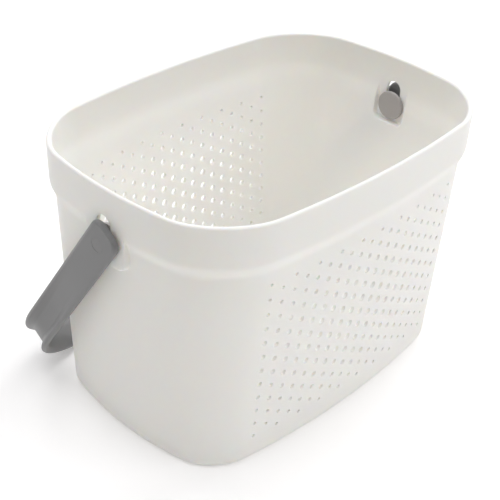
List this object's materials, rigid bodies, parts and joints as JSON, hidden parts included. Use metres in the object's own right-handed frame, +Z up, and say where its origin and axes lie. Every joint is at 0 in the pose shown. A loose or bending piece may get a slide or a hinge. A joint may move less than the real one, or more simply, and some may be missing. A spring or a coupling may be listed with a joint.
{
  "type": "shower caddy",
  "caption": "Open rectangular storage tub with rounded corners, perforated long walls and a swinging bail handle.",
  "frame": {"origin": "centre of the flat underside of the tub", "axes": "+Z up, X along the tub between the two handle pivots, +Y to the long side behind which the handle hangs"},
  "size_m": [0.2692, 0.1933, 0.1774],
  "materials": {
    "white_plastic": "satin off-white moulded polypropylene",
    "grey_plastic": "satin mid-grey moulded polypropylene",
    "grey_button_plastic": "satin mid-grey moulded polypropylene"
  },
  "bodies": {
    "tub": {"basket": "white_plastic"},
    "pivots": {"left_pivot_button": "grey_button_plastic", "right_pivot_button": "grey_button_plastic"},
    "bail": {"handle": "grey_plastic"}
  },
  "joints": [
    {"name": "pivot_lift", "type": "slide", "parent": "tub", "child": "pivots", "axis": [0, 0, 1], "range_m": [0, 0.0119]},
    {"name": "handle_swing", "type": "hinge", "parent": "pivots", "child": "bail", "pos_m": [0, 0, 0.1427], "axis": [1, 0, 0], "range_deg": [0, 291]}
  ]
}
